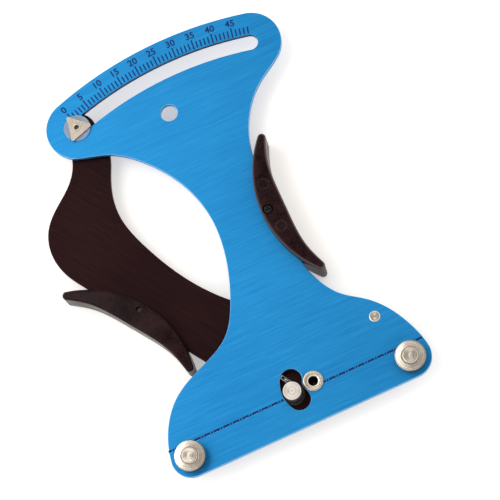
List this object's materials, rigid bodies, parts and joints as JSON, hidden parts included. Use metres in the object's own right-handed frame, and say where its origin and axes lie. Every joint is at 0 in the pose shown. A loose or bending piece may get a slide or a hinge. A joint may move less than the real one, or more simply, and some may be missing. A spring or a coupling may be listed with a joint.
{
  "type": "spoke tension meter",
  "caption": "Hand-held spoke tension meter: a wide-ended plate with a curved scale slot, grooved posts and a handle, and a sprung arm with the moving post, pointer and other handle.",
  "frame": {"origin": "middle of the tool's outline, on the bench it lies on with its face up", "axes": "+X along the spoke from the left fixed post to the right one, +Y from the spoke towards the scale, +Z out of the face towards the reader"},
  "size_m": [0.169, 0.2344, 0.0214],
  "materials": {
    "blue_plate": "brushed and anodised blue, with dark blue printed marks",
    "dark_plate": "brushed and anodised near black",
    "turned_steel": "turned and nickel plated",
    "rivet_steel": "bright plated",
    "bush_brass": "turned",
    "washer_plastic": "natural nylon",
    "spring_steel": "drawn spring wire",
    "pointer_nickel": "nickel plated",
    "clear_washer": "clear frosted plastic",
    "handle_plastic": "satin moulded near black",
    "black_screw": "black oxide"
  },
  "bodies": {
    "plate": {"face_plate": "blue_plate", "left_fixed_post": "turned_steel", "right_fixed_post": "turned_steel", "pivot_rivet": "rivet_steel", "pivot_bush": "bush_brass", "pivot_mid_washer": "washer_plastic", "pivot_back_washer": "rivet_steel", "return_spring": "spring_steel", "spring_stud": "turned_steel", "right_handle_front": "handle_plastic", "right_handle_rear": "handle_plastic", "right_handle_screw": "black_screw"},
    "arm": {"swing_arm": "dark_plate", "moving_post": "turned_steel", "left_handle_front": "handle_plastic", "left_handle_rear": "handle_plastic", "left_handle_screw": "black_screw", "pointer": "pointer_nickel", "pointer_washer": "clear_washer", "pointer_rivet": "rivet_steel", "slot_bush": "washer_plastic", "slot_rear_washer": "washer_plastic"}
  },
  "joints": [
    {"name": "arm_pivot", "type": "hinge", "parent": "plate", "child": "arm", "pos_m": [0.02072, -0.0963, 0.0083], "axis": [0, 0, -1], "range_deg": [0, 31.9], "stiffness_Nm_per_rad": 1.2, "springref_deg": -22.92, "deforming": ["return_spring"]}
  ]
}
